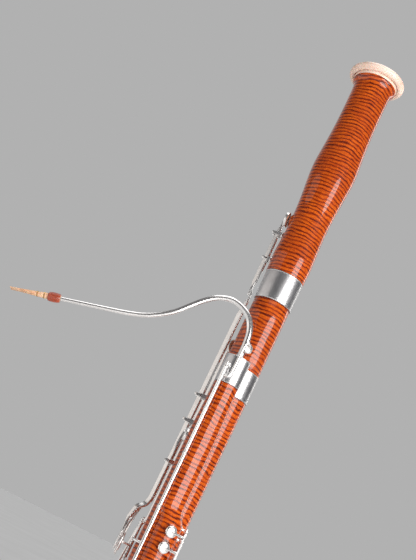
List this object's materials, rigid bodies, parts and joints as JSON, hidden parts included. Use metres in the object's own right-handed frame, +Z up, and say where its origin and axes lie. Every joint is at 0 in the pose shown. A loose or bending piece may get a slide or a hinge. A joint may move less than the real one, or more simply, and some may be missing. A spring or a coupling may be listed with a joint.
{
  "type": "bassoon",
  "caption": "German-system bassoon: oval boot, wing joint, two-piece long joint, flared bell with a pale ring, curved metal crook with a double reed, and working keywork.",
  "frame": {"origin": "middle of the flat underside of the boot cap", "axes": "+Z up the instrument along its bores, -Y towards the wing joint, +Y towards the long joint and bell, -X the player's thumb side, where the crook points"},
  "size_m": [0.312, 0.1567, 1.3506],
  "materials": {
    "maple": "flamed maple under clear glossy red-brown varnish",
    "ferrule_silver": "polished silver plate",
    "key_silver": "polished silver plate",
    "crook_silver": "polished silver plate",
    "ring_resin": "ivory-coloured resin",
    "tenon_wrap": "waxed thread and cork",
    "hard_rubber": "satin ebonite",
    "cane": "scraped cane",
    "reed_thread": "lacquered thread"
  },
  "bodies": {
    "root": {"b_flat_saddle": "key_silver", "bell_body": "maple", "bell_ferrule": "ferrule_silver", "bell_key_guide": "key_silver", "bell_key_saddle": "key_silver", "bell_ring": "ring_resin", "boot_body": "maple", "boot_bottom_cap": "ferrule_silver", "boot_finger_posts": "key_silver", "boot_gasket": "tenon_wrap", "boot_lower_ferrule": "ferrule_silver", "boot_thumb_posts": "key_silver", "boot_top_ferrule": "ferrule_silver", "boot_u_tube": "ferrule_silver", "hand_rest_socket": "key_silver", "little_finger_posts": "key_silver", "long_ferrule": "ferrule_silver", "long_lower_body": "maple", "long_tenon_wrap": "tenon_wrap", "long_upper_body": "maple", "long_upper_wrap": "tenon_wrap", "low_b_saddle": "key_silver", "low_c_saddle": "key_silver", "low_d_saddle": "key_silver", "strap_eye": "key_silver", "trill_posts": "key_silver", "whisper_posts": "key_silver", "wing_body": "maple", "wing_ferrule": "ferrule_silver", "wing_liner": "hard_rubber", "wing_tenon_wrap": "tenon_wrap", "wing_thumb_posts": "key_silver"},
    "b_flat_lever": {"b_flat_lever": "key_silver"},
    "bell_key": {"bell_key": "key_silver"},
    "low_b_key": {"low_b_key": "key_silver"},
    "low_c_key": {"low_c_key": "key_silver"},
    "low_d_key": {"low_d_key": "key_silver"},
    "low_c_sharp_key": {"low_c_sharp_key": "key_silver"},
    "low_d_sharp_key": {"low_d_sharp_key": "key_silver"},
    "whisper_touch": {"whisper_touch": "key_silver"},
    "whisper_key": {"whisper_key": "key_silver"},
    "high_c_flick_key": {"high_c_flick_key": "key_silver"},
    "high_a_flick_key": {"high_a_flick_key": "key_silver"},
    "c_sharp_thumb_key": {"c_sharp_thumb_key": "key_silver"},
    "trill_key_upper": {"trill_key_upper": "key_silver"},
    "trill_key_lower": {"trill_key_lower": "key_silver"},
    "g_key": {"g_key": "key_silver"},
    "a_flat_key": {"a_flat_key": "key_silver"},
    "f_key": {"f_key": "key_silver"},
    "f_sharp_key": {"f_sharp_key": "key_silver"},
    "b_flat_thumb_key": {"b_flat_thumb_key": "key_silver"},
    "e_pancake_key": {"e_pancake_key": "key_silver"},
    "f_sharp_thumb_key": {"f_sharp_thumb_key": "key_silver"},
    "a_flat_thumb_key": {"a_flat_thumb_key": "key_silver"},
    "bocal": {"bocal_tube": "crook_silver", "bocal_cork": "tenon_wrap"},
    "reed": {"reed_cane": "cane", "reed_turban": "reed_thread"},
    "strap_ring": {"strap_ring": "key_silver"},
    "hand_rest_screw": {"hand_rest_screw": "key_silver"}
  },
  "joints": [
    {"name": "b_flat_lever_press", "type": "hinge", "parent": "root", "child": "b_flat_lever", "pos_m": [-0.0323, 0.0195, 0.8556], "axis": [0, -1, 0], "range_deg": [0, 0.88], "stiffness_Nm_per_rad": 4},
    {"name": "bell_key_close", "type": "hinge", "parent": "root", "child": "bell_key", "pos_m": [-0.0323, 0.0195, 1.05], "axis": [0, 1, 0], "range_deg": [0, 2.41]},
    {"name": "low_b_press", "type": "hinge", "parent": "root", "child": "low_b_key", "pos_m": [-0.02927, 0.03315, 0.819], "axis": [-0.4226, -0.9063, 0], "range_deg": [0, 1.6], "stiffness_Nm_per_rad": 3},
    {"name": "low_c_press", "type": "hinge", "parent": "root", "child": "low_c_key", "pos_m": [-0.02992, 0.0068, 0.768], "axis": [0.3907, -0.9205, 0], "range_deg": [0, 4.5], "stiffness_Nm_per_rad": 1},
    {"name": "low_d_press", "type": "hinge", "parent": "root", "child": "low_d_key", "pos_m": [-0.02074, 0.04254, 0.66], "axis": [-0.7431, -0.6691, 0], "range_deg": [0, 4], "stiffness_Nm_per_rad": 1},
    {"name": "low_c_sharp_press", "type": "hinge", "parent": "root", "child": "low_c_sharp_key", "pos_m": [0.0256, 0.02636, 0.615], "axis": [0, 0, -1], "range_deg": [0, 8], "stiffness_Nm_per_rad": 0.2},
    {"name": "low_d_sharp_press", "type": "hinge", "parent": "root", "child": "low_d_sharp_key", "pos_m": [0.0256, 0.02636, 0.535], "axis": [0, 0, -1], "range_deg": [0, 8], "stiffness_Nm_per_rad": 0.2},
    {"name": "whisper_touch_press", "type": "hinge", "parent": "root", "child": "whisper_touch", "pos_m": [-0.0227, -0.01342, 0.6715], "axis": [0, 0, 1], "range_deg": [0, 4.5], "stiffness_Nm_per_rad": 0.3},
    {"name": "whisper_key_close", "type": "hinge", "parent": "root", "child": "whisper_key", "pos_m": [-0.00565, -0.03858, 0.76], "axis": [0, 0, 1], "range_deg": [0, 4.05]},
    {"name": "high_c_flick_press", "type": "hinge", "parent": "root", "child": "high_c_flick_key", "pos_m": [-0.0227, -0.01342, 0.6245], "axis": [0, 0, -1], "range_deg": [0, 8], "stiffness_Nm_per_rad": 0.2},
    {"name": "high_a_flick_press", "type": "hinge", "parent": "root", "child": "high_a_flick_key", "pos_m": [-0.0227, -0.01342, 0.5775], "axis": [0, 0, -1], "range_deg": [0, 8], "stiffness_Nm_per_rad": 0.2},
    {"name": "c_sharp_thumb_press", "type": "hinge", "parent": "root", "child": "c_sharp_thumb_key", "pos_m": [-0.0227, -0.01342, 0.5305], "axis": [0, 0, -1], "range_deg": [0, 8], "stiffness_Nm_per_rad": 0.2},
    {"name": "trill_key_upper_press", "type": "hinge", "parent": "root", "child": "trill_key_upper", "pos_m": [0.02833, -0.01244, 0.66], "axis": [0, 0, 1], "range_deg": [0, 6], "stiffness_Nm_per_rad": 0.2},
    {"name": "trill_key_lower_press", "type": "hinge", "parent": "root", "child": "trill_key_lower", "pos_m": [0.03, -0.0195, 0.64], "axis": [0, 0, 1], "range_deg": [0, 6], "stiffness_Nm_per_rad": 0.2},
    {"name": "g_press", "type": "hinge", "parent": "root", "child": "g_key", "pos_m": [0.0277, 0.024, 0.2162], "axis": [0, 0, -1], "range_deg": [0, 6], "stiffness_Nm_per_rad": 0.2},
    {"name": "a_flat_press", "type": "hinge", "parent": "root", "child": "a_flat_key", "pos_m": [0.0277, 0.024, 0.1721], "axis": [0, 0, 1], "range_deg": [0, 7], "stiffness_Nm_per_rad": 0.2},
    {"name": "f_press", "type": "hinge", "parent": "root", "child": "f_key", "pos_m": [0.0277, 0.024, 0.1271], "axis": [0, 0, -1], "range_deg": [0, 6], "stiffness_Nm_per_rad": 0.2},
    {"name": "f_sharp_press", "type": "hinge", "parent": "root", "child": "f_sharp_key", "pos_m": [0.0277, 0.024, 0.0863], "axis": [0, 0, 1], "range_deg": [0, 7], "stiffness_Nm_per_rad": 0.2},
    {"name": "b_flat_thumb_press", "type": "hinge", "parent": "root", "child": "b_flat_thumb_key", "pos_m": [-0.0277, 0.024, 0.2912], "axis": [0, 0, -1], "range_deg": [0, 7], "stiffness_Nm_per_rad": 0.2},
    {"name": "e_pancake_press", "type": "hinge", "parent": "root", "child": "e_pancake_key", "pos_m": [-0.0277, 0.024, 0.2346], "axis": [0, 0, 1], "range_deg": [0, 6], "stiffness_Nm_per_rad": 0.2},
    {"name": "f_sharp_thumb_press", "type": "hinge", "parent": "root", "child": "f_sharp_thumb_key", "pos_m": [-0.0277, 0.024, 0.1796], "axis": [0, 0, -1], "range_deg": [0, 7], "stiffness_Nm_per_rad": 0.2},
    {"name": "a_flat_thumb_press", "type": "hinge", "parent": "root", "child": "a_flat_thumb_key", "pos_m": [-0.0277, 0.024, 0.1313], "axis": [0, 0, -1], "range_deg": [0, 7], "stiffness_Nm_per_rad": 0.2},
    {"name": "bocal_turn", "type": "hinge", "parent": "root", "child": "bocal", "pos_m": [0, -0.0195, 0.907], "axis": [0, 0, 1], "range_deg": [-8, 8]},
    {"name": "reed_turn", "type": "hinge", "parent": "bocal", "child": "reed", "pos_m": [-0.21202, -0.07631, 0.87823], "axis": [-0.9371, -0.2511, -0.2425], "range_deg": [-20, 20]},
    {"name": "strap_ring_swing", "type": "hinge", "parent": "root", "child": "strap_ring", "pos_m": [0, 0.0455, 0.429], "axis": [1, 0, 0], "range_deg": [-5, 75]},
    {"name": "hand_rest_screw_turn", "type": "hinge", "parent": "root", "child": "hand_rest_screw", "pos_m": [-0.012, -0.0465, 0.33], "axis": [1, 0, 0], "range_deg": [-180, 180]}
  ],
  "couplings": [
    {"joint": "bell_key_close", "follows": "b_flat_lever_press", "ratio": 2.74},
    {"joint": "whisper_key_close", "follows": "whisper_touch_press", "ratio": 0.9}
  ]
}
